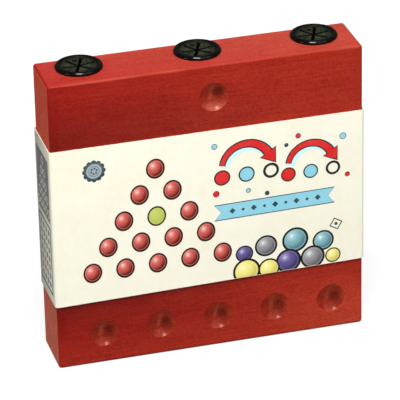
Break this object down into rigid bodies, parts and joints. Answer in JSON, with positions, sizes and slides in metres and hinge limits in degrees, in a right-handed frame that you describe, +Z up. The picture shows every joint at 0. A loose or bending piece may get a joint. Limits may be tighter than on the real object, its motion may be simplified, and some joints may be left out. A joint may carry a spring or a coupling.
{
  "type": "triangle peg jump game",
  "caption": "Solitaire jump game: a red wooden board with a triangle of cups, marbles stored in bores under star-slit rubber stoppers, and a card band",
  "frame": {"origin": "middle of the board's foot, on the surface it stands on", "axes": "+Z up the board to the stoppers, -Y out of the playing face with the cups, +X to the right seen from the front"},
  "size_m": [0.1262, 0.0256, 0.123],
  "materials": {
    "dyed_wood": "hardwood stained red, fine grain, satin lacquer, softly rounded edges",
    "printed_card": "cream coated paper with a colour print",
    "black_rubber": "moulded black rubber, smooth with a slight sheen",
    "marble_glass": "solid red glass, polished"
  },
  "bodies": {
    "game_board": {"game_board": "dyed_wood"},
    "paper_band": {"paper_band": "printed_card"},
    "stopper_left": {"stopper_left": "black_rubber"},
    "stopper_middle": {"stopper_middle": "black_rubber"},
    "stopper_right": {"stopper_right": "black_rubber"},
    "marble_left_1": {"marble_left_1": "marble_glass"},
    "marble_left_2": {"marble_left_2": "marble_glass"},
    "marble_left_3": {"marble_left_3": "marble_glass"},
    "marble_left_4": {"marble_left_4": "marble_glass"},
    "marble_left_5": {"marble_left_5": "marble_glass"},
    "marble_middle_1": {"marble_middle_1": "marble_glass"},
    "marble_middle_2": {"marble_middle_2": "marble_glass"},
    "marble_middle_3": {"marble_middle_3": "marble_glass"},
    "marble_middle_4": {"marble_middle_4": "marble_glass"},
    "marble_right_1": {"marble_right_1": "marble_glass"},
    "marble_right_2": {"marble_right_2": "marble_glass"},
    "marble_right_3": {"marble_right_3": "marble_glass"},
    "marble_right_4": {"marble_right_4": "marble_glass"},
    "marble_right_5": {"marble_right_5": "marble_glass"}
  },
  "joints": [
    {"name": "paper_band_slide", "type": "slide", "parent": "game_board", "child": "paper_band", "axis": [0, 0, 1], "range_m": [-0.0275, 0.098]},
    {"name": "stopper_left_pull", "type": "slide", "parent": "game_board", "child": "stopper_left", "axis": [0, 0, 1], "range_m": [0, 0.03]},
    {"name": "stopper_middle_pull", "type": "slide", "parent": "game_board", "child": "stopper_middle", "axis": [0, 0, 1], "range_m": [0, 0.03]},
    {"name": "stopper_right_pull", "type": "slide", "parent": "game_board", "child": "stopper_right", "axis": [0, 0, 1], "range_m": [0, 0.03]},
    {"name": "marble_left_1_lift", "type": "slide", "parent": "game_board", "child": "marble_left_1", "axis": [0, 0, 1], "range_m": [0, 0.0062]},
    {"name": "marble_left_2_lift", "type": "slide", "parent": "game_board", "child": "marble_left_2", "axis": [0, 0, 1], "range_m": [0, 0.0062]},
    {"name": "marble_left_3_lift", "type": "slide", "parent": "game_board", "child": "marble_left_3", "axis": [0, 0, 1], "range_m": [0, 0.0062]},
    {"name": "marble_left_4_lift", "type": "slide", "parent": "game_board", "child": "marble_left_4", "axis": [0, 0, 1], "range_m": [0, 0.0062]},
    {"name": "marble_left_5_lift", "type": "slide", "parent": "game_board", "child": "marble_left_5", "axis": [0, 0, 1], "range_m": [0, 0.0062]},
    {"name": "marble_middle_1_lift", "type": "slide", "parent": "game_board", "child": "marble_middle_1", "axis": [0, 0, 1], "range_m": [0, 0.0204]},
    {"name": "marble_middle_2_lift", "type": "slide", "parent": "game_board", "child": "marble_middle_2", "axis": [0, 0, 1], "range_m": [0, 0.0204]},
    {"name": "marble_middle_3_lift", "type": "slide", "parent": "game_board", "child": "marble_middle_3", "axis": [0, 0, 1], "range_m": [0, 0.0204]},
    {"name": "marble_middle_4_lift", "type": "slide", "parent": "game_board", "child": "marble_middle_4", "axis": [0, 0, 1], "range_m": [0, 0.0204]},
    {"name": "marble_right_1_lift", "type": "slide", "parent": "game_board", "child": "marble_right_1", "axis": [0, 0, 1], "range_m": [0, 0.0062]},
    {"name": "marble_right_2_lift", "type": "slide", "parent": "game_board", "child": "marble_right_2", "axis": [0, 0, 1], "range_m": [0, 0.0062]},
    {"name": "marble_right_3_lift", "type": "slide", "parent": "game_board", "child": "marble_right_3", "axis": [0, 0, 1], "range_m": [0, 0.0062]},
    {"name": "marble_right_4_lift", "type": "slide", "parent": "game_board", "child": "marble_right_4", "axis": [0, 0, 1], "range_m": [0, 0.0062]},
    {"name": "marble_right_5_lift", "type": "slide", "parent": "game_board", "child": "marble_right_5", "axis": [0, 0, 1], "range_m": [0, 0.0062]}
  ],
  "couplings": [
    {"joint": "marble_left_2_lift", "follows": "marble_left_1_lift", "ratio": 1},
    {"joint": "marble_left_3_lift", "follows": "marble_left_1_lift", "ratio": 1},
    {"joint": "marble_left_4_lift", "follows": "marble_left_1_lift", "ratio": 1},
    {"joint": "marble_left_5_lift", "follows": "marble_left_1_lift", "ratio": 1},
    {"joint": "marble_middle_2_lift", "follows": "marble_middle_1_lift", "ratio": 1},
    {"joint": "marble_middle_3_lift", "follows": "marble_middle_1_lift", "ratio": 1},
    {"joint": "marble_middle_4_lift", "follows": "marble_middle_1_lift", "ratio": 1},
    {"joint": "marble_right_2_lift", "follows": "marble_right_1_lift", "ratio": 1},
    {"joint": "marble_right_3_lift", "follows": "marble_right_1_lift", "ratio": 1},
    {"joint": "marble_right_4_lift", "follows": "marble_right_1_lift", "ratio": 1},
    {"joint": "marble_right_5_lift", "follows": "marble_right_1_lift", "ratio": 1}
  ]
}
